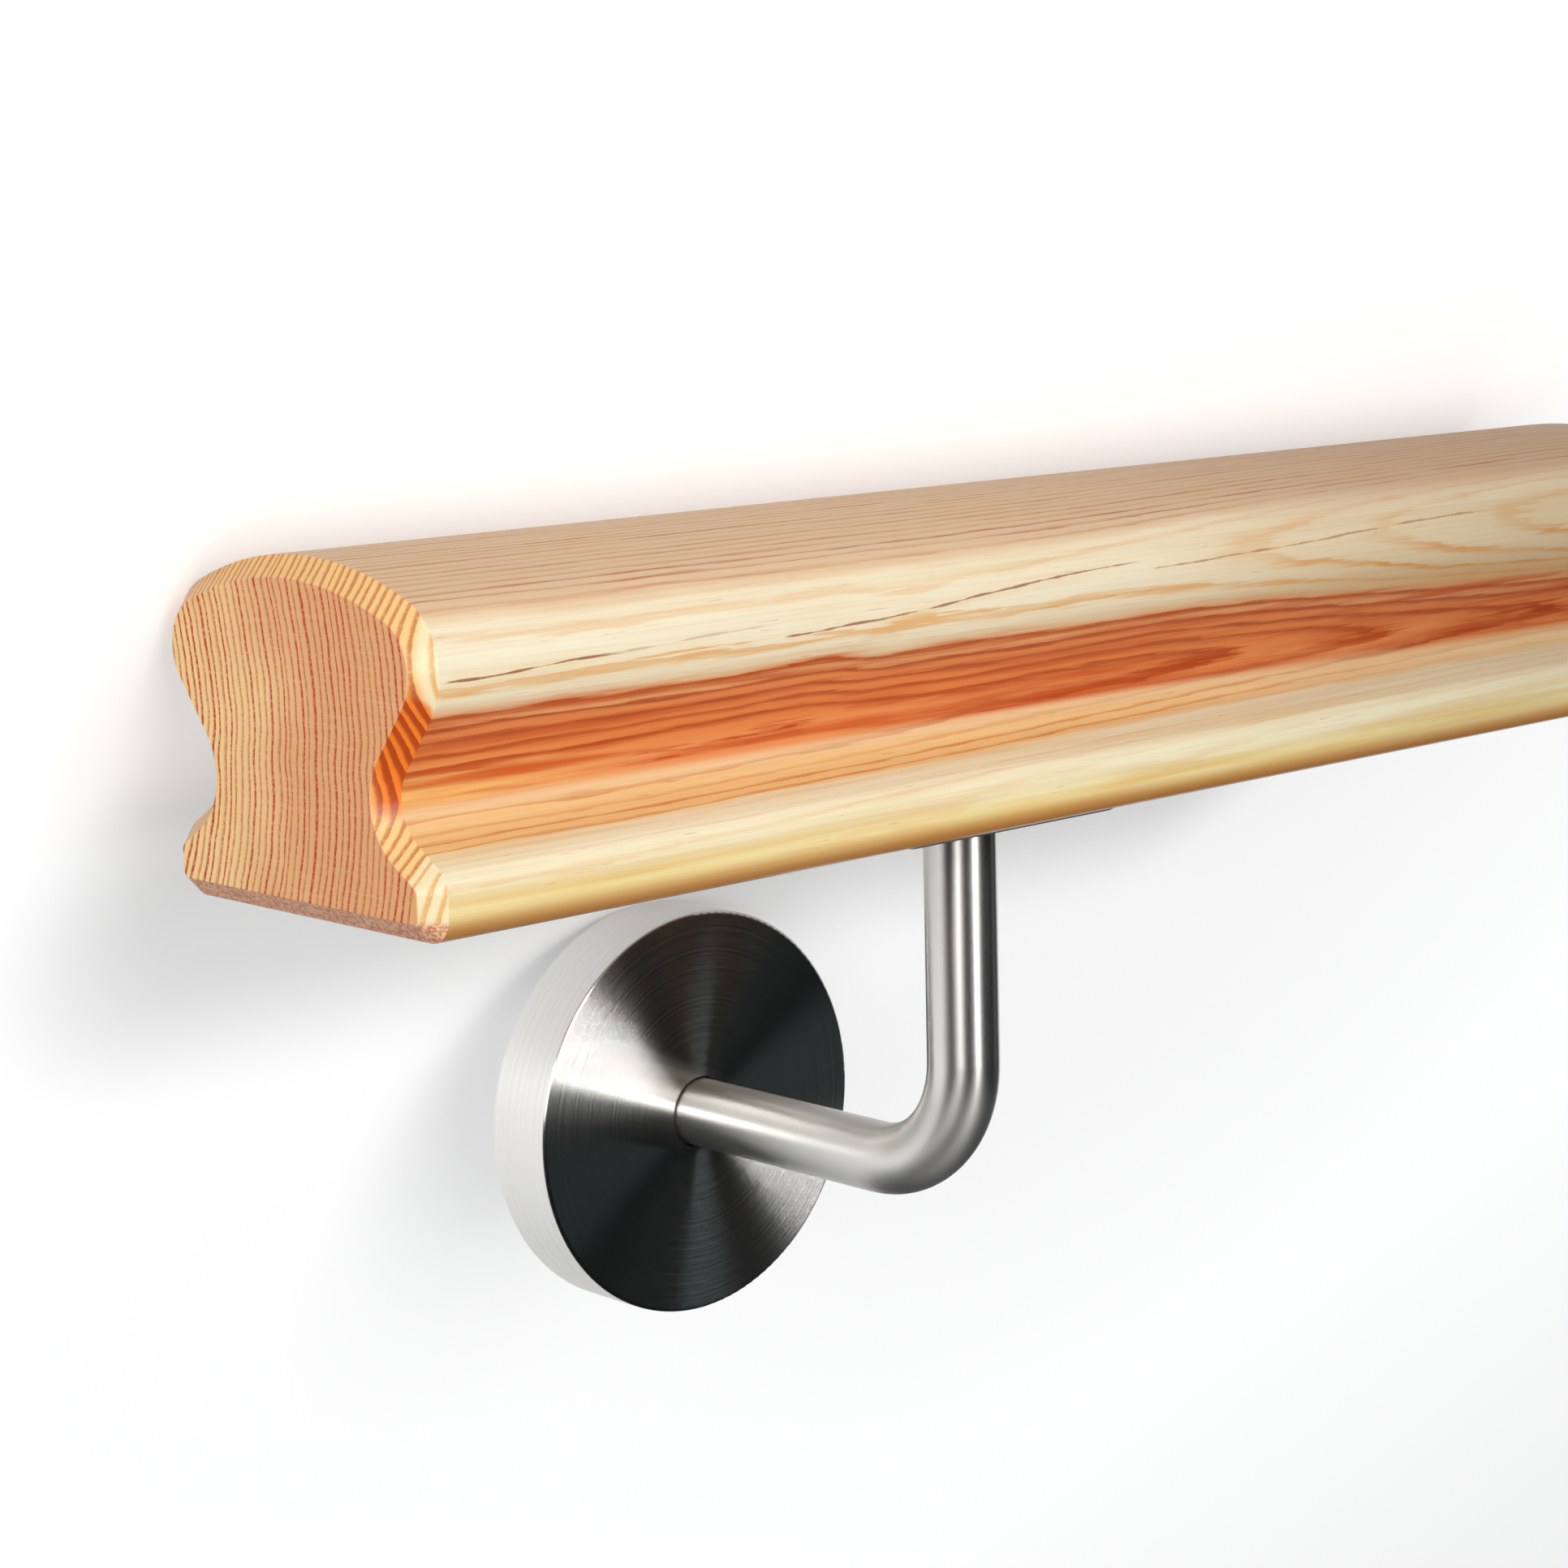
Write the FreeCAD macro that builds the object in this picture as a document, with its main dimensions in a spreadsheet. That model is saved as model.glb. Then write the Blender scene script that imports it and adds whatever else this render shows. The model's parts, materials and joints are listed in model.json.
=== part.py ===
import FreeCAD, Part
import math
import os

import Sketcher

# A short stair handrail of omega section on its one wall bracket: a bent round bar that is welded
# to a plate under the rail and to a round flange on the wall, with a turned cover over that flange.
# The pieces are drawn as they hang on a wall: X along the rail, Y into the wall (the wall is y = 0),
# Z up, with the origin at the wall on the axis of the flange. They are then laid on the floor as the
# loose object comes to rest.

DIMENSIONS = {
    "rail_length": 300,
    "rail_width": 60,
    "rail_height": 50,
    "crown_radius": 62,
    "shoulder_radius": 10,
    "groove_depth": 9.25,
    "neck_height": 18.5,
    "neck_radius": 6.5,
    "lip_slope": 32,
    "lip_radius": 4,
    "underside_radius": 4,
    "end_chamfer": 3,
    "near_overhang": 130,
    "wall_to_rod": 78.5,
    "rail_rise": 63.5,
    "rod_diameter": 12,
    "bend_radius": 20,
    "plate_length": 54,
    "plate_width": 24,
    "plate_thickness": 4,
    "plate_corner": 5,
    "screw_spacing": 36,
    "screw_diameter": 4.5,
    "screw_head": 9,
    "screw_length": 30,
    "screw_tip": 6,
    "screw_clearance": 0.15,
    "drive_span": 5,
    "drive_width": 1.2,
    "drive_depth": 2,
    "rosette_diameter": 72,
    "rosette_depth": 13.5,
    "rosette_wall": 1.5,
    "rosette_edge": 0.6,
    "rod_gap": 0.4,
    "flange_thickness": 5,
    "flange_gap": 0.2,
    "wall_hole": 5.5,
    "wall_hole_circle": 46,
    "wall_hole_count": 3,
}

TINY = 1e-6
FLANK_SHARE = 0.9
HEAD_HEIGHT = "(Sizes.screw_head - Sizes.screw_diameter) / 2"

# Names for the sketcher's own numbers
START, END, CENTRE = range(1, 4)
H_AXIS, V_AXIS = range(-1, -3, -1)
ORIGIN = (H_AXIS, START)

doc = FreeCAD.newDocument("handrail_length")
sheet = doc.addObject("Spreadsheet::Sheet", "Sizes")
for row, (alias, value) in enumerate(DIMENSIONS.items(), start=1):
    sheet.set(f"A{row}", alias)
    sheet.set(f"B{row}", str(value))
    sheet.setAlias(f"B{row}", alias)
doc.recompute()


def size(alias):
    """The value of one driving dimension."""
    return float(sheet.get(alias))


def new_body(label):
    body = doc.addObject("PartDesign::Body", label)
    body.Label = label
    return body


def new_sketch(body, role, name):
    """A sketch on one of the body's own origin planes."""
    sketch = body.newObject("Sketcher::SketchObject", name)
    plane = next(item for item in body.Origin.OriginFeatures if item.Role == role)
    sketch.AttachmentSupport = (plane, [""])
    sketch.MapMode = "FlatFace"
    return sketch


def dimension(sketch, expression, *constraint):
    """Adds a measured constraint and binds it to the sheet."""
    index = sketch.addConstraint(Sketcher.Constraint(*constraint))
    sketch.setExpression(f"Constraints[{index}]", expression)


def vec(x, y):
    return FreeCAD.Vector(x, y, 0)


def circle(sketch, radius, radius_expression, x=0.0, x_expression=None):
    """A circle on the sketch's horizontal axis."""
    centre = vec(x, 0)
    ring = sketch.addGeometry(Part.Circle(centre, FreeCAD.Vector(0, 0, 1), radius))
    dimension(sketch, radius_expression, "Radius", ring, radius)
    if x_expression is None:
        sketch.addConstraint(Sketcher.Constraint("Coincident", ring, CENTRE, *ORIGIN))
    else:
        sketch.addConstraint(Sketcher.Constraint("PointOnObject", ring, CENTRE, H_AXIS))
        if x < 0:
            dimension(sketch, x_expression, "DistanceX", ring, CENTRE, *ORIGIN, -x)
        else:
            dimension(sketch, x_expression, "DistanceX", *ORIGIN, ring, CENTRE, x)
    return ring


def polygon(sketch, corners):
    """Closed straight edges through the corners, in order."""
    edges = []
    for here, there in zip(corners, corners[1:] + corners[:1]):
        edges.append(sketch.addGeometry(Part.LineSegment(vec(*here), vec(*there))))
    for edge, following in zip(edges, edges[1:] + edges[:1]):
        sketch.addConstraint(Sketcher.Constraint("Coincident", edge, END, following, START))
    return edges


def rectangle(sketch, x_size, y_size, x_expression, y_expression):
    """A rectangle about the sketch's origin."""
    x = x_size / 2
    y = y_size / 2
    low, right, high, left = polygon(sketch, [(-x, -y), (x, -y), (x, y), (-x, y)])
    for edge in (low, high):
        sketch.addConstraint(Sketcher.Constraint("Horizontal", edge))
    for edge in (right, left):
        sketch.addConstraint(Sketcher.Constraint("Vertical", edge))
    sketch.addConstraint(Sketcher.Constraint("Symmetric", low, START, right, END, *ORIGIN))
    dimension(sketch, x_expression, "DistanceX", low, START, low, END, x_size)
    dimension(sketch, y_expression, "DistanceY", right, START, right, END, y_size)


def pad(body, sketch, name, expression):
    feature = body.newObject("PartDesign::Pad", name)
    feature.Profile = sketch
    feature.setExpression("Length", expression)
    doc.recompute()
    return feature


def pocket(body, sketch, name, expression):
    """A cut that runs the way the sketch faces."""
    before = body.Tip.Shape.Volume
    feature = body.newObject("PartDesign::Pocket", name)
    feature.Profile = sketch
    feature.Reversed = True
    feature.setExpression("Length", expression)
    doc.recompute()
    if feature.Shape.Volume == before:
        raise RuntimeError(f"{name} cuts nothing")
    return feature


def edge_names(shape, wanted):
    return [f"Edge{i}" for i, edge in enumerate(shape.Edges, start=1) if wanted(edge)]


def dress(body, kind, name, base, edges, expression):
    """A Chamfer or Fillet on named edges, sized from the sheet."""
    feature = body.newObject(f"PartDesign::{kind}", name)
    feature.Base = (base, edges)
    feature.setExpression("Size" if kind == "Chamfer" else "Radius", expression)
    doc.recompute()
    return feature


# Handrail: half of the omega section, drawn from the middle of the underside round the lip, the
# finger groove, the shoulder and the crown, then padded, mirrored, chamfered at both ends and drilled
# for its two screws.
rail = new_body("handrail")
section = new_sketch(rail, "YZ_Plane", "HalfSection")

half = size("rail_width") / 2
foot_r = size("underside_radius")
lip_r = size("lip_radius")
shoulder_r = size("shoulder_radius")
crown_r = size("crown_radius")
top = size("rail_height")
depth = size("groove_depth")
slope = math.radians(size("lip_slope"))

shoulder_x = half - shoulder_r
crown = vec(0, top - crown_r)
shoulder = vec(shoulder_x, crown.y + math.sqrt((crown_r - shoulder_r) ** 2 - shoulder_x ** 2))
# The groove's rounding is as large as the straight flank between groove and shoulder leaves room for.
drop = shoulder.y - size("neck_height")
neck_room = (depth ** 2 + drop ** 2) / (2 * depth) - shoulder_r
neck_r = min(size("neck_radius"), FLANK_SHARE * neck_room)
neck = vec(half - depth + neck_r, size("neck_height"))
crown_out = (shoulder - crown).normalize()
crown_end = crown + crown_out * crown_r
# The flank touches the shoulder on one side and the groove on the other.
span = neck - shoulder
lean = math.atan2(span.y, span.x) + math.acos((shoulder_r + neck_r) / span.Length)
flank_out = vec(math.cos(lean), math.sin(lean))
flank_top = shoulder + flank_out * shoulder_r
flank_low = neck - flank_out * neck_r
# The lip's upper face falls outwards from the groove to a rounded corner.
lip_out = vec(math.sin(slope), math.cos(slope))
lip_run = vec(math.cos(slope), -math.sin(slope))
lip_start = neck - lip_out * neck_r
lip_centre_x = half - lip_r
lip_line = lip_start - lip_out * lip_r
lip = lip_line + lip_run * ((lip_centre_x - lip_line.x) / lip_run.x)
lip_end = lip + lip_out * lip_r
foot = vec(half - foot_r, foot_r)


def arc(centre, radius, start, end):
    """An arc about a centre, counter-clockwise from start to end."""
    first = math.atan2(start.y - centre.y, start.x - centre.x)
    last = math.atan2(end.y - centre.y, end.x - centre.x)
    return Part.ArcOfCircle(Part.Circle(centre, FreeCAD.Vector(0, 0, 1), radius), first, last)


def line(start, end):
    return Part.LineSegment(start, end)


side_low = vec(half, foot_r)
side_top = vec(half, lip.y)
crown_top = vec(0, top)
sole = section.addGeometry(line(vec(0, 0), vec(foot.x, 0)))
foot_arc = section.addGeometry(arc(foot, foot_r, vec(foot.x, 0), side_low))
side = section.addGeometry(line(side_low, side_top))
lip_arc = section.addGeometry(arc(lip, lip_r, side_top, lip_end))
lip_face = section.addGeometry(line(lip_end, lip_start))
groove = section.addGeometry(arc(neck, neck_r, flank_low, lip_start))
flank = section.addGeometry(line(flank_low, flank_top))
shoulder_arc = section.addGeometry(arc(shoulder, shoulder_r, flank_top, crown_end))
crown_arc = section.addGeometry(arc(crown, crown_r, crown_end, crown_top))
middle = section.addGeometry(line(crown_top, vec(0, 0)))

section.addConstraint(Sketcher.Constraint("Coincident", sole, START, *ORIGIN))
section.addConstraint(Sketcher.Constraint("Coincident", middle, END, *ORIGIN))
section.addConstraint(Sketcher.Constraint("Coincident", crown_arc, END, middle, START))
section.addConstraint(Sketcher.Constraint("Horizontal", sole))
section.addConstraint(Sketcher.Constraint("Vertical", side))
section.addConstraint(Sketcher.Constraint("Vertical", middle))
section.addConstraint(Sketcher.Constraint("PointOnObject", crown_arc, CENTRE, V_AXIS))
smooth_joints = [
    (sole, END, foot_arc, START),
    (foot_arc, END, side, START),
    (side, END, lip_arc, START),
    (lip_arc, END, lip_face, START),
    (lip_face, END, groove, END),
    (groove, START, flank, START),
    (flank, END, shoulder_arc, START),
    (shoulder_arc, END, crown_arc, START),
]
for joint in smooth_joints:
    section.addConstraint(Sketcher.Constraint("Tangent", *joint))
for piece, radius, alias in [
    (foot_arc, foot_r, "underside_radius"),
    (lip_arc, lip_r, "lip_radius"),
    (shoulder_arc, shoulder_r, "shoulder_radius"),
    (crown_arc, crown_r, "crown_radius"),
]:
    dimension(section, f"Sizes.{alias}", "Radius", piece, radius)
dimension(section, "Sizes.rail_height", "DistanceY", middle, END, middle, START, top)
dimension(section, "Sizes.rail_width / 2", "DistanceX", *ORIGIN, side, START, half)
SHOULDER_PLACE = "Sizes.rail_width / 2 - Sizes.shoulder_radius"
dimension(section, SHOULDER_PLACE, "DistanceX", *ORIGIN, shoulder_arc, CENTRE, shoulder_x)
SHOULDER_RISE = f"sqrt((Sizes.crown_radius - Sizes.shoulder_radius)^2 - ({SHOULDER_PLACE})^2)"
DROP = f"(Sizes.rail_height - Sizes.crown_radius + {SHOULDER_RISE} - Sizes.neck_height)"
NECK_ROOM = f"((Sizes.groove_depth^2 + {DROP}^2) / (2 * Sizes.groove_depth) - Sizes.shoulder_radius)"
NECK_RADIUS = f"min(Sizes.neck_radius; {FLANK_SHARE} * {NECK_ROOM})"
dimension(section, NECK_RADIUS, "Radius", groove, neck_r)
neck_place = f"Sizes.rail_width / 2 - Sizes.groove_depth + {NECK_RADIUS}"
dimension(section, neck_place, "DistanceX", *ORIGIN, groove, CENTRE, neck.x)
dimension(section, "Sizes.neck_height", "DistanceY", *ORIGIN, groove, CENTRE, neck.y)
dimension(section, "(180 - Sizes.lip_slope) * 1 deg", "Angle", lip_face, math.pi - slope)
doc.recompute()

rail_half = pad(rail, section, "HalfRail", "Sizes.rail_length")
mirrored = rail.newObject("PartDesign::Mirrored", "WholeRail")
mirrored.Originals = [rail_half]
mirrored.MirrorPlane = (section, ["V_Axis"])
rail.Tip = mirrored
doc.recompute()
ends = []
for index, face in enumerate(mirrored.Shape.Faces, start=1):
    if abs(abs(face.normalAt(0, 0).x) - 1) < TINY:
        ends.append(f"Face{index}")
rail_ends = dress(rail, "Chamfer", "EndChamfers", mirrored, ends, "Sizes.end_chamfer")

# The two screws stand either side of the bar, along the rail.
screw_r = size("screw_diameter") / 2
hole_r = screw_r + size("screw_clearance")
half_spacing = size("screw_spacing") / 2
hole_radius = "Sizes.screw_diameter / 2 + Sizes.screw_clearance"
pilots = new_sketch(rail, "XY_Plane", "PilotHoles")
for side_sign in (-1, 1):
    place = f"Sizes.near_overhang {'+' if side_sign > 0 else '-'} Sizes.screw_spacing / 2"
    circle(pilots, hole_r, hole_radius, size("near_overhang") + side_sign * half_spacing, place)
doc.recompute()
pocket(rail, pilots, "Pilots", "Sizes.screw_length - Sizes.plate_thickness + Sizes.screw_clearance")

# Saddle plate: a flat bar with rounded corners and two countersunk holes, under the rail.
plate = new_body("saddle_plate")
blank = new_sketch(plate, "XY_Plane", "Blank")
rectangle(blank, size("plate_length"), size("plate_width"), "Sizes.plate_length", "Sizes.plate_width")
doc.recompute()
plate_blank = pad(plate, blank, "Plate", "Sizes.plate_thickness")


def is_upright(edge):
    return abs(abs(edge.tangentAt(edge.FirstParameter).z) - 1) < TINY


upright = edge_names(plate_blank.Shape, is_upright)
dress(plate, "Fillet", "Corners", plate_blank, upright, "Sizes.plate_corner")
drills = new_sketch(plate, "XY_Plane", "ScrewHoles")
for side_sign in (-1, 1):
    circle(drills, hole_r, hole_radius, side_sign * half_spacing, "Sizes.screw_spacing / 2")
doc.recompute()
drilled = pocket(plate, drills, "Holes", "Sizes.plate_thickness")


def is_hole_mouth(edge):
    """A round edge of a screw hole on the plate's lower face."""
    if not isinstance(edge.Curve, Part.Circle):
        return False
    at_face = abs(edge.Curve.Center.z) < TINY
    return at_face and abs(edge.Curve.Radius - hole_r) < TINY


mouths = edge_names(drilled.Shape, is_hole_mouth)
dress(plate, "Chamfer", "Countersinks", drilled, mouths, HEAD_HEIGHT)

# Saddle screws: countersunk wood screws with a cross recess, turned about Z, head down.
screws = []
head_r = size("screw_head") / 2
cone_top = head_r - screw_r
shank_top = size("screw_length") - size("screw_tip")
for number in (1, 2):
    screw = new_body(f"saddle_screw_{number}")
    outline = new_sketch(screw, "XZ_Plane", f"ScrewOutline{number}")
    points = [(0, 0), (head_r, 0), (screw_r, cone_top), (screw_r, shank_top), (0, size("screw_length"))]
    face, cone, shank, tip, axis = polygon(outline, points)
    outline.addConstraint(Sketcher.Constraint("Coincident", face, START, *ORIGIN))
    outline.addConstraint(Sketcher.Constraint("Horizontal", face))
    outline.addConstraint(Sketcher.Constraint("Vertical", shank))
    outline.addConstraint(Sketcher.Constraint("Vertical", axis))
    dimension(outline, "Sizes.screw_head / 2", "DistanceX", *ORIGIN, face, END, head_r)
    dimension(outline, "Sizes.screw_diameter / 2", "DistanceX", *ORIGIN, shank, START, screw_r)
    dimension(outline, HEAD_HEIGHT, "DistanceY", *ORIGIN, shank, START, cone_top)
    shank_length = "Sizes.screw_length - Sizes.screw_tip"
    dimension(outline, shank_length, "DistanceY", *ORIGIN, shank, END, shank_top)
    dimension(outline, "Sizes.screw_length", "DistanceY", axis, END, axis, START, size("screw_length"))
    doc.recompute()
    turned = screw.newObject("PartDesign::Revolution", f"Screw{number}")
    turned.Profile = outline
    turned.ReferenceAxis = (outline, ["V_Axis"])
    turned.Angle = 360
    doc.recompute()
    slots = [("drive_span", "drive_width"), ("drive_width", "drive_span")]
    for across, (x_alias, y_alias) in enumerate(slots):
        slot = new_sketch(screw, "XY_Plane", f"Drive{number}{across}")
        rectangle(slot, size(x_alias), size(y_alias), f"Sizes.{x_alias}", f"Sizes.{y_alias}")
        doc.recompute()
        pocket(screw, slot, f"Recess{number}{across}", "Sizes.drive_depth")
    screws.append(screw)

# Bracket bar: round bar out of the wall flange, bent up to the saddle plate, and welded at both ends.
rod = new_body("bracket_rod")
rod_top = size("rail_rise") - size("plate_thickness")
bend_r = size("bend_radius")
rod_y = -size("wall_to_rod")
root_y = -size("flange_thickness")
route = new_sketch(rod, "YZ_Plane", "Route")
bend_start = vec(rod_y + bend_r, 0)
bend_end = vec(rod_y, bend_r)
run = route.addGeometry(line(vec(root_y, 0), bend_start))
bend = route.addGeometry(arc(vec(rod_y + bend_r, bend_r), bend_r, bend_end, bend_start))
stem = route.addGeometry(line(bend_end, vec(rod_y, rod_top)))
route.addConstraint(Sketcher.Constraint("PointOnObject", run, START, H_AXIS))
route.addConstraint(Sketcher.Constraint("Horizontal", run))
route.addConstraint(Sketcher.Constraint("Vertical", stem))
route.addConstraint(Sketcher.Constraint("Tangent", run, END, bend, END))
route.addConstraint(Sketcher.Constraint("Tangent", bend, START, stem, START))
dimension(route, "Sizes.bend_radius", "Radius", bend, bend_r)
dimension(route, "Sizes.flange_thickness", "DistanceX", run, START, *ORIGIN, -root_y)
dimension(route, "Sizes.wall_to_rod", "DistanceX", stem, END, *ORIGIN, -rod_y)
dimension(route, "Sizes.rail_rise - Sizes.plate_thickness", "DistanceY", *ORIGIN, stem, END, rod_top)
doc.recompute()
bar_section = new_sketch(rod, "XZ_Plane", "BarSection")
bar_section.setExpression("AttachmentOffset.Base.z", "Sizes.flange_thickness")
circle(bar_section, size("rod_diameter") / 2, "Sizes.rod_diameter / 2")
doc.recompute()
bar = rod.newObject("PartDesign::AdditivePipe", "Bar")
bar.Profile = bar_section
bar.Spine = route
doc.recompute()

# Wall flange: a round plate with three screw holes, hidden under the cover, with the bar welded to
# its middle.
flange = new_body("wall_flange")
disc = new_sketch(flange, "XZ_Plane", "Disc")
flange_radius = "Sizes.rosette_diameter / 2 - Sizes.rosette_wall - Sizes.flange_gap"
circle(disc, size("rosette_diameter") / 2 - size("rosette_wall") - size("flange_gap"), flange_radius)
doc.recompute()
pad(flange, disc, "Flange", "Sizes.flange_thickness")
first_hole = new_sketch(flange, "XZ_Plane", "WallHole")
circle(first_hole, size("wall_hole") / 2, "Sizes.wall_hole / 2", size("wall_hole_circle") / 2,
       "Sizes.wall_hole_circle / 2")
doc.recompute()
wall_hole = pocket(flange, first_hole, "WallHoleCut", "Sizes.flange_thickness")
ring = flange.newObject("PartDesign::PolarPattern", "WallHoles")
ring.Originals = [wall_hole]
ring.Axis = (disc, ["N_Axis"])
ring.Angle = 360
ring.setExpression("Occurrences", "Sizes.wall_hole_count")
flange.Tip = ring
doc.recompute()

# Rosette cover: a turned cap that is pushed on over the flange, with a clearance hole for the bar.
cover = new_body("rosette_cover")
cap = new_sketch(cover, "XZ_Plane", "Cap")
circle(cap, size("rosette_diameter") / 2, "Sizes.rosette_diameter / 2")
doc.recompute()
cap_solid = pad(cover, cap, "CapBlank", "Sizes.rosette_depth")


def is_front_rim(edge):
    """The round edge between the cap's face and its side."""
    if not isinstance(edge.Curve, Part.Circle):
        return False
    return abs(edge.Curve.Center.y + size("rosette_depth")) < TINY


front_rim = edge_names(cap_solid.Shape, is_front_rim)
dress(cover, "Fillet", "FrontRim", cap_solid, front_rim, "Sizes.rosette_edge")
hollow = new_sketch(cover, "XZ_Plane", "Hollow")
hollow_r = size("rosette_diameter") / 2 - size("rosette_wall")
circle(hollow, hollow_r, "Sizes.rosette_diameter / 2 - Sizes.rosette_wall")
doc.recompute()
pocket(cover, hollow, "HollowCut", "Sizes.rosette_depth - Sizes.rosette_wall")
bar_hole = new_sketch(cover, "XZ_Plane", "BarHole")
circle(bar_hole, size("rod_diameter") / 2 + size("rod_gap"), "Sizes.rod_diameter / 2 + Sizes.rod_gap")
doc.recompute()
pocket(cover, bar_hole, "BarHoleCut", "Sizes.rosette_depth")

# Where each piece sits on the wall.
at_underside = FreeCAD.Vector(0, rod_y, size("rail_rise"))
at_plate = FreeCAD.Vector(0, rod_y, rod_top)
on_wall = [
    (rail, at_underside - FreeCAD.Vector(size("near_overhang"), 0, 0)),
    (plate, at_plate),
    (screws[0], at_plate - FreeCAD.Vector(half_spacing, 0, 0)),
    (screws[1], at_plate + FreeCAD.Vector(half_spacing, 0, 0)),
    (rod, FreeCAD.Vector(0, 0, 0)),
    (flange, FreeCAD.Vector(0, 0, 0)),
    (cover, FreeCAD.Vector(0, 0, 0)),
]

# Laid loose on a floor the object tips on to the top of the cover's back rim and the rail's back
# shoulder. The floor is the line through that rim point that touches the shoulder's arc; turning it
# level gives the rest pose.
rim_top = size("rosette_diameter") / 2
rim_to_shoulder = vec(rod_y + shoulder.x, size("rail_rise") + shoulder.y - rim_top)
sight = math.atan2(rim_to_shoulder.y, rim_to_shoulder.x)
floor_angle = sight - math.asin(shoulder_r / rim_to_shoulder.Length)
level = FreeCAD.Rotation(FreeCAD.Vector(1, 0, 0), -math.degrees(floor_angle))
turned_over = FreeCAD.Placement(FreeCAD.Vector(0, 0, 0), level)


def place_all(rest):
    for body, offset in on_wall:
        body.Placement = rest.multiply(FreeCAD.Placement(offset, FreeCAD.Rotation()))
    doc.recompute()


place_all(turned_over)
extent = FreeCAD.BoundBox()
for body, offset in on_wall:
    extent.add(body.Shape.optimalBoundingBox(False))
to_floor = FreeCAD.Vector(-extent.Center.x, -extent.Center.y, -extent.ZMin)
rest_pose = FreeCAD.Placement(to_floor, level)
place_all(rest_pose)

for item in doc.Objects:
    if "Invalid" in item.State or "Error" in item.State:
        raise RuntimeError(f"{item.Label} failed: {item.State}")
for body, offset in on_wall:
    if body.Shape.isNull() or not body.Shape.isValid() or len(body.Shape.Solids) != 1:
        raise RuntimeError(f"{body.Label} has no sound solid")

os.makedirs("parts", exist_ok=True)
for body, offset in on_wall:
    body.Shape.exportStep(f"parts/{body.Label}.step")
    print(f"{body.Label}: {body.Shape.Volume:.1f} mm3")
into_wall = level.multVec(FreeCAD.Vector(0, 1, 0))
print("wall point", list(to_floor), "wall normal", list(into_wall))
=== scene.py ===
import json
import math

import bpy
from mathutils import Matrix, Vector

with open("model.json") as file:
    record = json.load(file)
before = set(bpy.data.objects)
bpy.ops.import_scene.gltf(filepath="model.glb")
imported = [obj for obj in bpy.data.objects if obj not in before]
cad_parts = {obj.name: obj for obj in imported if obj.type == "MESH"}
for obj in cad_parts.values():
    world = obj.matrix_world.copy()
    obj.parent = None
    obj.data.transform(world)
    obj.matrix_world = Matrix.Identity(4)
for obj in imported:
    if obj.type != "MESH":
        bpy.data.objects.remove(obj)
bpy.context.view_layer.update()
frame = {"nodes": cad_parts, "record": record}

bpy.ops.object.select_all(action="DESELECT")

# Handrail: one length of larch, planed to an omega section with a finger groove on each side, sawn
# square and chamfered at both ends, then sanded and given two coats of clear satin lacquer. The board
# was cut near the outside of the log, so its front shoulder and lips are pale sapwood.

# The piece is drawn as it hangs: X along the rail, Y into the wall, Z up, from the wall flange's axis.
MM_PER_M = 1000.0
ONE_MM = 1 / MM_PER_M
WALL_TO_BAR = 0.0785
RAIL_RISE = 0.0635

wall_mount = next(item for item in frame["record"]["mounts"] if item["name"] == "wall_screws")
wall_point = Vector(wall_mount["pos_m"])
into_wall = Vector(wall_mount["axis"])
along_rail = Vector((1, 0, 0))
up_wall = along_rail.cross(into_wall)
hung = Matrix((along_rail, into_wall, up_wall)).transposed().to_4x4()
hung.translation = wall_point
hung_turn = math.atan2(into_wall.z, into_wall.y)
rail_foot = hung @ Vector((0, -WALL_TO_BAR, RAIL_RISE))


def put(tree, kind, **options):
    """Adds a node with its options."""
    node = tree.nodes.new(kind)
    for option, value in options.items():
        setattr(node, option, value)
    return node


def feed(tree, socket, value):
    """Links a socket to a socket, or sets a plain value on it."""
    if isinstance(value, bpy.types.NodeSocket):
        tree.links.new(value, socket)
    elif socket.type == "RGBA" and len(value) == 3:
        socket.default_value = (*value, 1)
    else:
        socket.default_value = value


def calc(tree, operation, *values):
    """Arithmetic with sockets or plain numbers."""
    node = put(tree, "ShaderNodeMath", operation=operation)
    for socket, value in zip(node.inputs, values):
        feed(tree, socket, value)
    return node.outputs["Value"]


def slant(tree, first, second):
    """The distance that two lengths at a right angle make."""
    square = calc(tree, "ADD", calc(tree, "POWER", first, 2.0), calc(tree, "POWER", second, 2.0))
    return calc(tree, "SQRT", square)


def stretch(tree, place, lengths):
    """Divides a place by a length in each direction."""
    node = put(tree, "ShaderNodeVectorMath", operation="DIVIDE")
    feed(tree, node.inputs[0], place)
    feed(tree, node.inputs[1], lengths)
    return node.outputs["Vector"]


def cloud(tree, place, detail=2.0):
    """Soft noise, about 0.5 on average."""
    node = put(tree, "ShaderNodeTexNoise")
    feed(tree, node.inputs["Vector"], place)
    feed(tree, node.inputs["Scale"], 1.0)
    feed(tree, node.inputs["Detail"], detail)
    return node.outputs["Fac"]


def cloud_along(tree, value, scale, detail=2.0):
    """Soft noise along one number."""
    node = put(tree, "ShaderNodeTexNoise", noise_dimensions="1D")
    feed(tree, node.inputs["W"], value)
    feed(tree, node.inputs["Scale"], scale)
    feed(tree, node.inputs["Detail"], detail)
    return node.outputs["Fac"]


def by_chance(tree, value):
    """A number from 0 to 1 that differs from value to value."""
    node = put(tree, "ShaderNodeTexWhiteNoise", noise_dimensions="1D")
    feed(tree, node.inputs["W"], value)
    return node.outputs["Value"]


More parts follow.
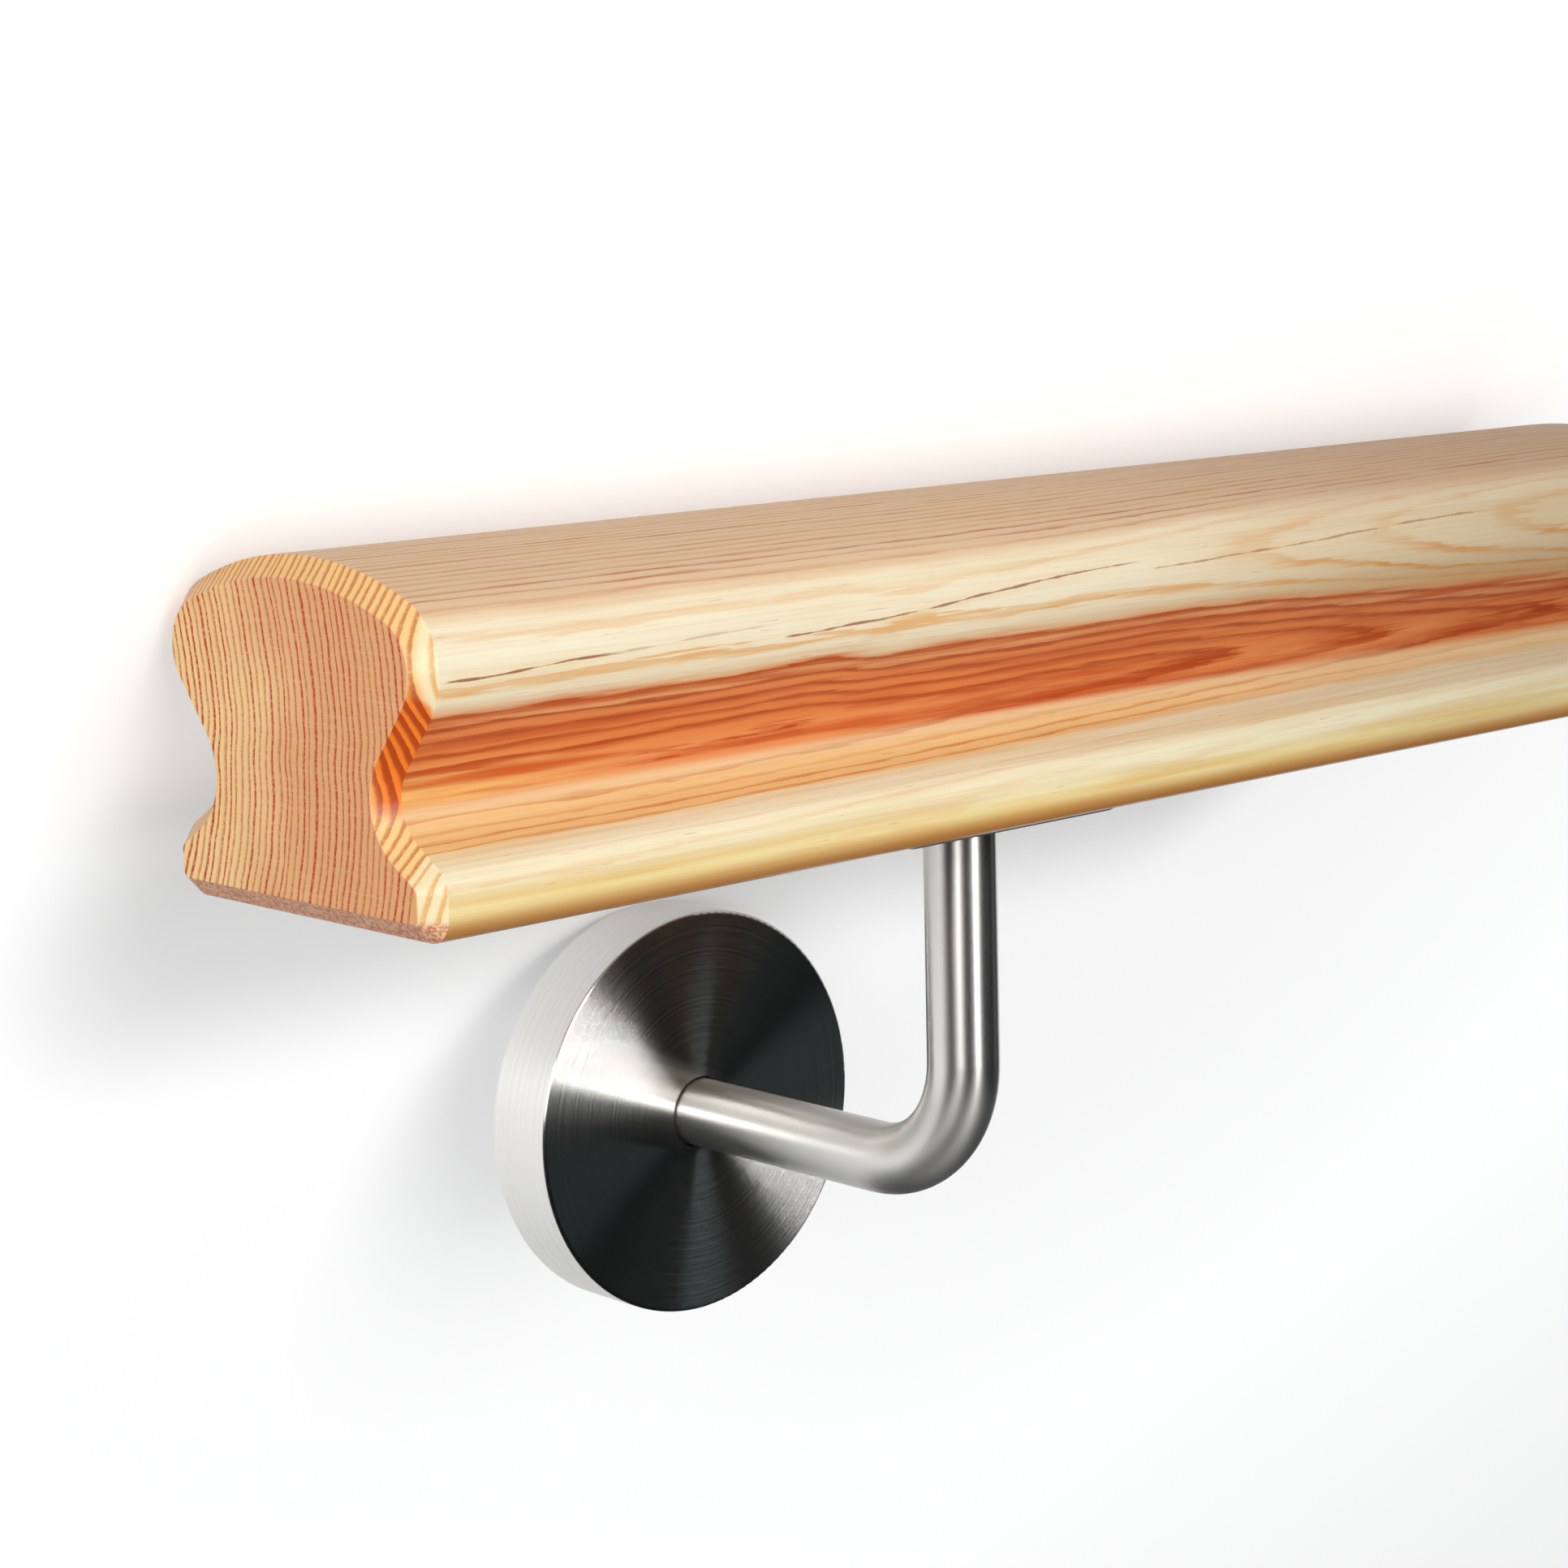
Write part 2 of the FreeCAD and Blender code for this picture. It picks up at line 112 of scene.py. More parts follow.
def step(tree, value, low, high, start=0.0, end=1.0):
    """A soft step from start to end as the value goes from low to high."""
    node = put(tree, "ShaderNodeMapRange", interpolation_type="SMOOTHSTEP")
    names = ("Value", "From Min", "From Max", "To Min", "To Max")
    for name, number in zip(names, (value, low, high, start, end)):
        feed(tree, node.inputs[name], number)
    return node.outputs["Result"]


def blend(tree, mask, under, over, mode="MIX"):
    """Lays one colour over another where the mask is 1."""
    node = put(tree, "ShaderNodeMix", data_type="RGBA", blend_type=mode)
    feed(tree, node.inputs["Factor"], mask)
    feed(tree, node.inputs[6], under)
    feed(tree, node.inputs[7], over)
    return node.outputs[2]


def new_material(name):
    """A material with its node tree, its shader and its place on the object."""
    material = bpy.data.materials.new(name)
    material.use_nodes = True
    tree = material.node_tree
    shader = tree.nodes["Principled BSDF"]
    place = put(tree, "ShaderNodeTexCoord").outputs["Object"]
    return material, tree, shader, place


def drawn_place(tree, place, centre, scale=(ONE_MM, ONE_MM, ONE_MM)):
    """The place in millimetres from a centre, in the directions of the hung rail."""
    node = put(tree, "ShaderNodeMapping", vector_type="TEXTURE")
    feed(tree, node.inputs["Vector"], place)
    feed(tree, node.inputs["Location"], centre)
    feed(tree, node.inputs["Rotation"], (hung_turn, 0, 0))
    feed(tree, node.inputs["Scale"], scale)
    return node.outputs["Vector"]


def dress(node_name, material):
    """Gives a CAD node its finish."""
    for slot in frame["nodes"][node_name].material_slots:
        slot.material = material


# The wood is laid out in millimetres: along from the bracket, forward from the bar, up from the rail's foot
NEAR_END = -130.0
HALF_LENGTH = 150.0
CHAMFER = 3.0
PITH_BACK = 75.0
PITH_HEIGHT = 26.0
RING_WIDTH = 1.42
FIRST_RING = 21.0
SAP_EDGE = 28.3

larch, tree, shader, place = new_material("lacquered_larch")
grain = drawn_place(tree, place, rail_foot, (ONE_MM, -ONE_MM, ONE_MM))
split = put(tree, "ShaderNodeSeparateXYZ")
feed(tree, split.inputs["Vector"], grain)
along, front, height = split.outputs

# The chamfers and the sawn faces at both ends
chamfer_foot = HALF_LENGTH - CHAMFER
from_mid = calc(tree, "ABSOLUTE", calc(tree, "SUBTRACT", along, NEAR_END + HALF_LENGTH))
sawn = step(tree, from_mid, HALF_LENGTH - 0.15, HALF_LENGTH - 0.05)
eased = calc(tree, "SUBTRACT", step(tree, from_mid, chamfer_foot - 0.1, chamfer_foot + 0.1), sawn)

# Growth rings: the distance from the log's pith, which drifts along the board and curls at one spot.
# A curl is where it starts, where it ends and its rise. A drift is its edges in height, its start, its
# end and its reach.
CURLS = ((-76.0, -57.0, -0.4), (-57.0, -43.0, 0.85), (-43.0, 20.0, -0.45))
LIP_DRIFT = (24.0, 14.0, -110.0, 135.0, 4.3)
CROWN_DRIFT = (33.0, 44.0, -40.0, 160.0, 5.2)
sway = cloud(tree, stretch(tree, grain, (110, 30, 30)))
wobble = cloud(tree, stretch(tree, grain, (30, 6, 6)), 3)
ragged = cloud(tree, stretch(tree, grain, (11, 0.5, 0.5)))
from_pith = calc(tree, "ADD", front, PITH_BACK)
from_middle = calc(tree, "SUBTRACT", height, PITH_HEIGHT)
growth = calc(tree, "SUBTRACT", slant(tree, from_pith, from_middle), PITH_BACK)
in_groove = step(tree, height, 27.0, 21.0)
near_drift = calc(tree, "MULTIPLY", step(tree, along, -122.0, -68.0, 0.6, -0.05), in_groove)
drift = calc(tree, "ADD", near_drift, step(tree, along, 15.0, 150.0, 0.0, 4.5))
curl = 0.0
for start, end, rise in CURLS:
    curl = calc(tree, "ADD", curl, step(tree, along, start, end, 0.0, rise))
drift = calc(tree, "ADD", drift, calc(tree, "MULTIPLY", curl, step(tree, height, 34.0, 30.0)))
for low_edge, high_edge, start, end, reach in (LIP_DRIFT, CROWN_DRIFT):
    other = calc(tree, "SUBTRACT", step(tree, along, start, end, 0.0, reach), drift)
    drift = calc(tree, "ADD", drift, calc(tree, "MULTIPLY", other, step(tree, height, low_edge, high_edge)))
growth = calc(tree, "ADD", growth, drift)
raggedness = step(tree, from_mid, chamfer_foot - 1.0, chamfer_foot, 0.8, 0.15)
for noise, amount in ((sway, 0.8), (wobble, 1.0), (ragged, raggedness)):
    shift = calc(tree, "MULTIPLY", calc(tree, "SUBTRACT", noise, 0.5), amount)
    growth = calc(tree, "ADD", growth, shift)

# Each ring is a year: pale early wood, then late wood that ends in a dark line
years = calc(tree, "DIVIDE", calc(tree, "SUBTRACT", growth, FIRST_RING), RING_WIDTH)
uneven = calc(tree, "SUBTRACT", cloud_along(tree, growth, 0.3), 0.5)
uneven = calc(tree, "MULTIPLY", uneven, step(tree, growth, 20.0, 16.0, 0.0, 1.2))
wide_ring = step(tree, growth, 28.4, 29.6, 0.0, 0.5)
years = calc(tree, "ADD", years, calc(tree, "SUBTRACT", uneven, wide_ring))
year_share = calc(tree, "FRACT", years)
strength = step(tree, by_chance(tree, calc(tree, "FLOOR", years)), 0.0, 1.0, 0.5, 1.0)
patchy = cloud(tree, stretch(tree, grain, (38, 1.6, 1.6)))
dots = cloud(tree, stretch(tree, grain, (4, 0.35, 0.35)), 1)
late = calc(tree, "MULTIPLY", step(tree, year_share, 0.38, 0.95), step(tree, year_share, 1.02, 0.96))
late = calc(tree, "MAXIMUM", late, step(tree, year_share, 0.12, -0.06))
year_end = step(tree, year_share, 1.0, 0.93)
line = calc(tree, "MULTIPLY", step(tree, year_share, 0.6, 0.88), year_end)
line = calc(tree, "MULTIPLY", line, strength)

# Heartwood: pink-brown with fine lines, red in flames where the groove is cut nearly along the rings
PLANED_EARLY = (0.73, 0.495, 0.295)
PLANED_LATE = (0.63, 0.31, 0.12)
PLANED_LINE = (0.47, 0.125, 0.022)
FLAME_EARLY = (0.77, 0.215, 0.054)
FLAME_LOW = (0.83, 0.35, 0.13)
FLAME_BY_END = (0.88, 0.48, 0.15)
FLAME_OUTER = (0.79, 0.37, 0.155)
FLAME_DARK = (0.62, 0.115, 0.022)
RED_LATE = (0.53, 0.075, 0.011)
RED_LINE = (0.42, 0.052, 0.007)
TAN_EARLY = (0.87, 0.55, 0.235)
TAN_LINE = (0.70, 0.29, 0.075)
TAN_FAR = (0.84, 0.62, 0.36)
HIGHLIGHT_PINK = (0.78, 0.55, 0.40)
planed_heart = blend(tree, calc(tree, "MULTIPLY", late, 0.3), PLANED_EARLY, PLANED_LATE)
planed_line = calc(tree, "MULTIPLY", line, step(tree, patchy, 0.36, 0.64, 0.15, 1.0))
planed_heart = blend(tree, planed_line, planed_heart, PLANED_LINE)
flame = cloud(tree, stretch(tree, grain, (60, 2.2, 2.2)), 3)
by_end = calc(tree, "MULTIPLY", step(tree, along, -80.0, -122.0), step(tree, height, 24.0, 20.5))
flame_early = blend(tree, step(tree, height, 22.5, 19.5, 0.0, 0.5), FLAME_EARLY, FLAME_LOW)
flame_early = blend(tree, by_end, flame_early, FLAME_BY_END)
flame_early = blend(tree, step(tree, growth, 25.5, 27.5), flame_early, FLAME_OUTER)
flame_early = blend(tree, step(tree, flame, 0.42, 0.66), flame_early, FLAME_DARK)
red_late = calc(tree, "MULTIPLY", late, step(tree, height, 17.6, 19.4, 0.45, 0.95))
red_heart = blend(tree, red_late, flame_early, RED_LATE)
red_line = calc(tree, "MULTIPLY", line, step(tree, patchy, 0.3, 0.6, 0.3, 0.8))
red_heart = blend(tree, red_line, red_heart, RED_LINE)
tan_heart = blend(tree, line, TAN_EARLY, TAN_LINE)
tan_heart = blend(tree, step(tree, along, 0.0, 120.0, 0.0, 0.6), tan_heart, TAN_FAR)
flame_foot = calc(tree, "ADD", height, step(tree, along, 0.0, 130.0, 0.0, 1.2))
outer_heart = blend(tree, step(tree, flame_foot, 16.3, 17.8), tan_heart, red_heart)
# Painted highlight: a pale pink band along the groove's lower fillet, where the lacquer catches the light,
# fading towards the far end
fillet_highlight = calc(tree, "MULTIPLY", step(tree, height, 14.8, 15.9), step(tree, height, 17.8, 16.8, 0.0, 0.25))
fillet_highlight = calc(tree, "MULTIPLY", fillet_highlight, step(tree, along, 10.0, 120.0, 1.0, 0.0))
outer_heart = blend(tree, fillet_highlight, outer_heart, HIGHLIGHT_PINK)
outward = calc(tree, "MULTIPLY", step(tree, growth, 16.0, 20.5), step(tree, height, 36.0, 32.0))
heart = blend(tree, outward, planed_heart, outer_heart)

# Sapwood: pale cream on the shoulder, yellower along the lip, with soft tan rings
PALE_SAP = (0.87, 0.78, 0.575)
PALE_STREAK = (0.82, 0.66, 0.42)
LIP_SAP = (0.88, 0.79, 0.545)
LIP_STREAK = (0.83, 0.67, 0.39)
LOW_SAP = (0.87, 0.72, 0.36)
LOW_STREAK = (0.78, 0.55, 0.20)
LIP_FOOT = (0.74, 0.51, 0.17)
FAR_SAP_TONE_AND_SHADE = (0.72, 0.50, 0.25)
SAP_BY_HEART = (0.76, 0.49, 0.25)
FAR_STAIN = (0.70, 0.40, 0.17)
SAP_LATE = (0.80, 0.53, 0.25)
SAP_LINE = (0.76, 0.36, 0.09)
streak = cloud(tree, stretch(tree, grain, (80, 2.5, 2.5)))
pale_sap = blend(tree, step(tree, streak, 0.4, 0.7, 0.0, 0.3), PALE_SAP, PALE_STREAK)
lip_sap = blend(tree, step(tree, streak, 0.4, 0.7), LIP_SAP, LIP_STREAK)
low_sap = blend(tree, step(tree, streak, 0.4, 0.62), LOW_SAP, LOW_STREAK)
lip_sap = blend(tree, step(tree, height, 7.5, 4.5), lip_sap, low_sap)
lip_sap = blend(tree, step(tree, height, 5.0, 2.5, 0.0, 0.6), lip_sap, LIP_FOOT)
sap = blend(tree, step(tree, height, 12.0, 24.0), lip_sap, pale_sap)
# Partly painted shade: the sapwood darkens towards the far end, where the light falls off, and is also a
# little browner there
sap = blend(tree, step(tree, along, 20.0, 150.0, 0.0, 0.25), sap, FAR_SAP_TONE_AND_SHADE)
on_flank = step(tree, height, 20.0, 26.0)
by_heart = calc(tree, "MULTIPLY", step(tree, growth, 29.8, 28.8, 0.0, 0.6), on_flank)
sap = blend(tree, by_heart, sap, SAP_BY_HEART)
far_stain = calc(tree, "MULTIPLY", step(tree, growth, 33.5, 29.5), step(tree, along, 0.0, 120.0, 0.0, 0.85))
sap = blend(tree, calc(tree, "MULTIPLY", far_stain, on_flank), sap, FAR_STAIN)
below_crown = step(tree, height, 36.5, 34.5, 0.4, 0.9)
above_lip = step(tree, height, 14.0, 20.0, 0.25, 1.0)
ring_show = calc(tree, "MULTIPLY", below_crown, above_lip)
sap_late = calc(tree, "MULTIPLY", calc(tree, "MULTIPLY", late, 0.5), ring_show)
sap = blend(tree, sap_late, sap, SAP_LATE)
sap_line = calc(tree, "MULTIPLY", line, step(tree, patchy, 0.3, 0.6, 0.3, 1.0))
sap = blend(tree, calc(tree, "MULTIPLY", sap_line, ring_show), sap, SAP_LINE)

# The edge between the two is uneven, and runs lower on the lip near the end
edge_noise = cloud(tree, stretch(tree, grain, (25, 2, 2)))
sap_place = calc(tree, "ADD", growth, calc(tree, "SUBTRACT", edge_noise, 0.5))
lip_shift = calc(tree, "MULTIPLY", step(tree, along, -110.0, 135.0, 1.7, 0.0), step(tree, height, 17.0, 13.0))
far_shift = step(tree, along, 20.0, 150.0, 0.0, 0.6)
sap_place = calc(tree, "ADD", sap_place, calc(tree, "SUBTRACT", lip_shift, far_shift))
sapwood = step(tree, sap_place, SAP_EDGE - 0.3, SAP_EDGE + 0.7)
wood = blend(tree, sapwood, heart, sap)

# Painted shade: the board darkens towards its far end, standing in for the light falling off along it, with a
# slightly browner tone there
FAR_LIP_SHADE = (0.84, 0.88, 0.92)
FAR_RAIL_SHADE = (0.72, 0.66, 0.60)
far_falloff_shade = blend(tree, step(tree, height, 13.0, 17.0), FAR_LIP_SHADE, FAR_RAIL_SHADE)
wood = blend(tree, step(tree, along, -40.0, 150.0), wood, far_falloff_shade, "MULTIPLY")

# Fibres: faint lines along the grain, and short dark flecks where the cutter lifted them; then painted shade
# along the lower edge
FIBRE_BROWN = (0.57, 0.27, 0.10)
FLECK_BROWN = (0.50, 0.20, 0.07)
UNDER_SHADE_BROWN = (0.50, 0.17, 0.03)
fibre = cloud(tree, stretch(tree, grain, (26, 0.5, 0.5)))
wood = blend(tree, step(tree, fibre, 0.42, 0.72, 0.0, 0.13), wood, FIBRE_BROWN)
fleck = step(tree, cloud(tree, stretch(tree, grain, (6, 0.25, 0.25)), 1), 0.72, 0.78)
wood = blend(tree, calc(tree, "MULTIPLY", fleck, 0.45), wood, FLECK_BROWN)
# Painted shade: darker orange-brown along the lower edge of the lip, where it turns under, fading onto the
# flat underside
under_edge_shade = calc(tree, "MULTIPLY", step(tree, height, 4.5, 1.2), step(tree, height, 0.05, 0.5, 0.25, 1.0))
wood = blend(tree, calc(tree, "MULTIPLY", under_edge_shade, 0.78), wood, UNDER_SHADE_BROWN)

# Drying cracks: fine hairlines along the front shoulder, each one a little higher than the last. A crack
# is where it starts and ends along the rail, its height at both, and how open it is.
CRACKS = (
    (-126.5, -93.0, 34.4, 35.2, 0.85),
    (-96.0, -66.0, 35.4, 36.2, 0.35),
    (-66.0, 12.0, 34.2, 38.3, 0.8),
    (13.0, 103.0, 37.0, 39.3, 0.55),
)
STAIN_TAN = (0.80, 0.54, 0.26)
CRACK_DARK = (0.28, 0.075, 0.025)
crack_sway = cloud(tree, stretch(tree, grain, (22, 900, 900)), 4)
crack_gap = cloud(tree, stretch(tree, grain, (7, 900, 900)), 3)
half_gap = step(tree, crack_gap, 0.3, 0.65, -0.04, 0.18)
on_shoulder = step(tree, front, 26.0, 27.5)
for start, end, foot, tip, depth in CRACKS:
    begun = step(tree, along, start, start + 2.0)
    crack_height = calc(tree, "ADD", step(tree, along, start, end, foot, tip), crack_sway)
    off_crack = calc(tree, "ABSOLUTE", calc(tree, "SUBTRACT", height, crack_height))
    crack = step(tree, calc(tree, "SUBTRACT", off_crack, half_gap), 0.1, -0.03, 0.0, depth)
    crack = calc(tree, "MULTIPLY", crack, begun)
    crack = calc(tree, "MULTIPLY", crack, step(tree, along, end, end - 8.0))
    stain = step(tree, off_crack, 1.5, 0.2, 0.0, 0.28 * depth)
    stain = calc(tree, "MULTIPLY", stain, step(tree, along, end, end - 12.0))
    stain = calc(tree, "MULTIPLY", calc(tree, "MULTIPLY", stain, on_shoulder), begun)
    wood = blend(tree, stain, wood, STAIN_TAN)
    wood = blend(tree, calc(tree, "MULTIPLY", crack, on_shoulder), wood, CRACK_DARK)

# Chamfers: end grain cut on the slant, which soaks up the lacquer and shows each ring as a bold band
EASED_EARLY = (0.88, 0.55, 0.22)
EASED_LATE = (0.55, 0.18, 0.04)
EASED_RED_EARLY = (0.88, 0.21, 0.022)
EASED_RED_LATE = (0.42, 0.048, 0.006)
EASED_SAP_EARLY = (0.84, 0.69, 0.42)
EASED_SAP_LATE = (0.74, 0.38, 0.12)
TORN_DARK = (0.56, 0.20, 0.10)
TORN_PALE = (0.90, 0.53, 0.34)
band = calc(tree, "MULTIPLY", step(tree, year_share, 0.45, 0.75), year_end)
band = calc(tree, "MULTIPLY", band, step(tree, dots, 0.3, 0.5, 0.6, 0.9))
eased_wood = blend(tree, band, EASED_EARLY, EASED_LATE)
eased_red = blend(tree, step(tree, year_share, 0.25, 0.6, 0.0, 0.9), EASED_RED_EARLY, EASED_RED_LATE)
eased_sap = blend(tree, band, EASED_SAP_EARLY, EASED_SAP_LATE)
red_share = calc(tree, "MULTIPLY", outward, step(tree, height, 15.0, 18.0))
eased_wood = blend(tree, red_share, eased_wood, eased_red)
eased_wood = blend(tree, sapwood, eased_wood, eased_sap)
torn = cloud(tree, stretch(tree, grain, (0.7, 0.5, 0.5)), 3)
fuzzy = blend(tree, step(tree, torn, 0.35, 0.65), TORN_DARK, TORN_PALE)
eased_wood = blend(tree, step(tree, height, 3.6, 2.6), eased_wood, fuzzy)
wood = blend(tree, eased, wood, eased_wood)

# Sawn ends: open end grain, yellower at the back, with dotted rings and faint marks of the saw
END_BACK = (0.98, 0.67, 0.30)
END_FRONT = (0.81, 0.415, 0.185)
END_RING = (0.50, 0.05, 0.010)
SAW_MARK = (0.90, 0.62, 0.46)
blotch = cloud(tree, stretch(tree, grain, (900, 16, 22)), 1)
blush = calc(tree, "ADD", front, calc(tree, "MULTIPLY", blotch, 40.0))
end_early = blend(tree, step(tree, blush, -4.0, 26.0), END_BACK, END_FRONT)
end_line = calc(tree, "MULTIPLY", step(tree, year_share, 0.5, 0.82), year_end)
end_line = calc(tree, "MULTIPLY", end_line, step(tree, strength, 0.5, 1.0, 0.65, 1.05))
end_line = calc(tree, "MULTIPLY", end_line, step(tree, dots, 0.34, 0.56, 0.55, 1.1))
end_wood = blend(tree, calc(tree, "MINIMUM", end_line, 1.0), end_early, END_RING)
saw_marks = cloud(tree, stretch(tree, grain, (900, 14, 0.5)), 2)
end_wood = blend(tree, step(tree, saw_marks, 0.5, 0.8, 0.0, 0.22), end_wood, SAW_MARK)
wood = blend(tree, sawn, wood, end_wood)
feed(tree, shader.inputs["Base Color"], wood)

# The lacquer sinks into the open grain of the ends and is worn thin on the crown
open_chamfer = calc(tree, "MULTIPLY", eased, step(tree, height, 6.0, 2.0, 0.3, 1.0))
open_grain = calc(tree, "MAXIMUM", sawn, open_chamfer)
open_grain = calc(tree, "MAXIMUM", open_grain, step(tree, height, 43.0, 47.0, 0.0, 0.7))
feed(tree, shader.inputs["Roughness"], step(tree, open_grain, 0.0, 1.0, 0.4, 0.6))
feed(tree, shader.inputs["Specular IOR Level"], 0.25)
feed(tree, shader.inputs["Coat Weight"], step(tree, open_grain, 0.0, 1.0, 0.3, 0.03))
feed(tree, shader.inputs["Coat Roughness"], 0.13)
dress("handrail", larch)

# Bracket bar: round stainless bar, drawn, bent cold through a right angle and polished lengthwise. It
# is welded to the wall flange at one end and to the saddle plate at the other.
BEND_RADIUS = 20.0
BEND_FROM_WALL = -58.5
BEND_ROUGHNESS = 0.52

satin_steel, tree, shader, place = new_material("satin_stainless_bar")
bar_place = drawn_place(tree, place, wall_point)
split = put(tree, "ShaderNodeSeparateXYZ")
feed(tree, split.inputs["Vector"], bar_place)
inward, upward = split.outputs["Y"], split.outputs["Z"]


def arrow(tree, operation, *values):
    """Vector arithmetic with sockets or plain directions."""
    node = put(tree, "ShaderNodeVectorMath", operation=operation)
    for socket, value in zip(node.inputs, values):
        feed(tree, socket, value)
    return node.outputs["Vector"]


def scaled(tree, direction, length):
    """A direction made as long as asked."""
    node = put(tree, "ShaderNodeVectorMath", operation="SCALE")
    feed(tree, node.inputs[0], direction)
    feed(tree, node.inputs["Scale"], length)
    return node.outputs["Vector"]


# Fine marks of the polishing belt or the rolls, which break up a steel's shine
fine_marks = bpy.data.node_groups.new("fine_marks", "ShaderNodeTree")
for name, kind in (("Place", "Vector"), ("Mark Size", "Float"), ("Smooth", "Float"), ("Rough", "Float")):
    fine_marks.interface.new_socket(name, in_out="INPUT", socket_type="NodeSocket" + kind)
for name in ("Marks", "Roughness"):
    fine_marks.interface.new_socket(name, in_out="OUTPUT", socket_type="NodeSocketFloat")
given = put(fine_marks, "NodeGroupInput").outputs
result = put(fine_marks, "NodeGroupOutput").inputs
marks = cloud(fine_marks, stretch(fine_marks, given["Place"], given["Mark Size"]), 3)
feed(fine_marks, result["Marks"], marks)
feed(fine_marks, result["Roughness"], step(fine_marks, marks, 0.3, 0.7, given["Smooth"], given["Rough"]))


def marked(tree, place, mark_size, smooth, rough):
    """Places the fine marks in a material, with that steel's own values."""
    node = put(tree, "ShaderNodeGroup", node_tree=fine_marks)
    names = ("Place", "Mark Size", "Smooth", "Rough")
    for name, value in zip(names, (place, mark_size, smooth, rough)):
        feed(tree, node.inputs[name], value)
    return node.outputs


# The bar's own direction: down from the plate, round the bend and into the wall
before_bend = calc(tree, "MAXIMUM", calc(tree, "SUBTRACT", BEND_RADIUS, upward), 0.0)
past_bend = calc(tree, "MAXIMUM", calc(tree, "SUBTRACT", BEND_FROM_WALL, inward), 0.0)
level_run = scaled(tree, into_wall, before_bend)
drop = scaled(tree, -up_wall, past_bend)
feed(tree, shader.inputs["Tangent"], arrow(tree, "NORMALIZE", arrow(tree, "ADD", level_run, drop)))

# The bend is duller than the straight runs, because bending roughens the steel
in_bend = calc(tree, "MINIMUM", before_bend, past_bend)
polished = marked(tree, bar_place, mark_size=0.3, smooth=0.31, rough=0.38)
bar_roughness = step(tree, in_bend, 0.0, 9.0, polished["Roughness"], BEND_ROUGHNESS)
feed(tree, shader.inputs["Base Color"], (0.77, 0.76, 0.725))
feed(tree, shader.inputs["Metallic"], 1.0)
feed(tree, shader.inputs["Roughness"], bar_roughness)
feed(tree, shader.inputs["Anisotropic"], 0.75)
dress("bracket_rod", satin_steel)

# Saddle plate: a flat plate of the same stainless steel with rounded corners, ground on its faces,
# welded to the top of the bar and screwed under the rail.
plate_steel, tree, shader, place = new_material("ground_stainless_plate")
plate_place = drawn_place(tree, place, wall_point)
ground = marked(tree, plate_place, mark_size=0.3, smooth=0.33, rough=0.42)
feed(tree, shader.inputs["Base Color"], (0.72, 0.71, 0.68))
feed(tree, shader.inputs["Metallic"], 1.0)
feed(tree, shader.inputs["Roughness"], ground["Roughness"])
dress("saddle_plate", plate_steel)

# Saddle screws: two countersunk wood screws of bright stainless steel with a cross recess, driven up
# through the plate into the rail.
screw_steel, tree, shader, place = new_material("bright_screw_steel")
screw_place = drawn_place(tree, place, wall_point)
headed = marked(tree, screw_place, mark_size=1.5, smooth=0.28, rough=0.34)
feed(tree, shader.inputs["Base Color"], (0.58, 0.58, 0.57))
feed(tree, shader.inputs["Metallic"], 1.0)
feed(tree, shader.inputs["Roughness"], headed["Roughness"])
dress("saddle_screw_1", screw_steel)
dress("saddle_screw_2", screw_steel)

# Wall flange: a plain disc of rolled steel, drilled for three wall screws. The bar is welded to its
# middle, and the cover hides it.
flange_steel, tree, shader, place = new_material("rolled_flange_steel")
flange_place = drawn_place(tree, place, wall_point)
rolled = marked(tree, flange_place, mark_size=3.0, smooth=0.36, rough=0.52)
feed(tree, shader.inputs["Base Color"], blend(tree, rolled["Marks"], (0.46, 0.46, 0.46), (0.56, 0.55, 0.54)))
feed(tree, shader.inputs["Metallic"], 1.0)
feed(tree, shader.inputs["Roughness"], rolled["Roughness"])
dress("wall_flange", flange_steel)

# Rosette cover: a stainless cap turned on a lathe, with fine circular marks on its face and round
# its rim, pushed over the wall flange. The bar passes through its hole with a little room.
RIM_FROM = 35.5
FACE_TILT = 0.55
RIM_TILT = 0.15
MARKS_PER_MM = (40.0, 57.0)
DULL_STEEL = (0.84, 0.83, 0.795)
BRIGHT_STEEL = (0.93, 0.92, 0.88)

turned_steel, tree, shader, place = new_material("turned_cover_steel")


def measured(tree, operation, *arrows):
    """A length in millimetres, from arrows in metres."""
    node = put(tree, "ShaderNodeVectorMath", operation=operation)
    for socket, value in zip(node.inputs, arrows):
        feed(tree, socket, value)
    return calc(tree, "MULTIPLY", node.outputs["Value"], MM_PER_M)


from_centre = arrow(tree, "SUBTRACT", place, wall_point)
from_axis = arrow(tree, "SUBTRACT", from_centre, arrow(tree, "PROJECT", from_centre, into_wall))
radius = measured(tree, "LENGTH", from_axis)
depth = measured(tree, "DOT_PRODUCT", from_centre, into_wall)
on_rim = step(tree, radius, RIM_FROM, RIM_FROM + 0.4)
across_marks = put(tree, "ShaderNodeMix", data_type="VECTOR")
feed(tree, across_marks.inputs["Factor"], on_rim)
feed(tree, across_marks.inputs[4], arrow(tree, "NORMALIZE", from_axis))
feed(tree, across_marks.inputs[5], into_wall)
across_marks = across_marks.outputs[1]

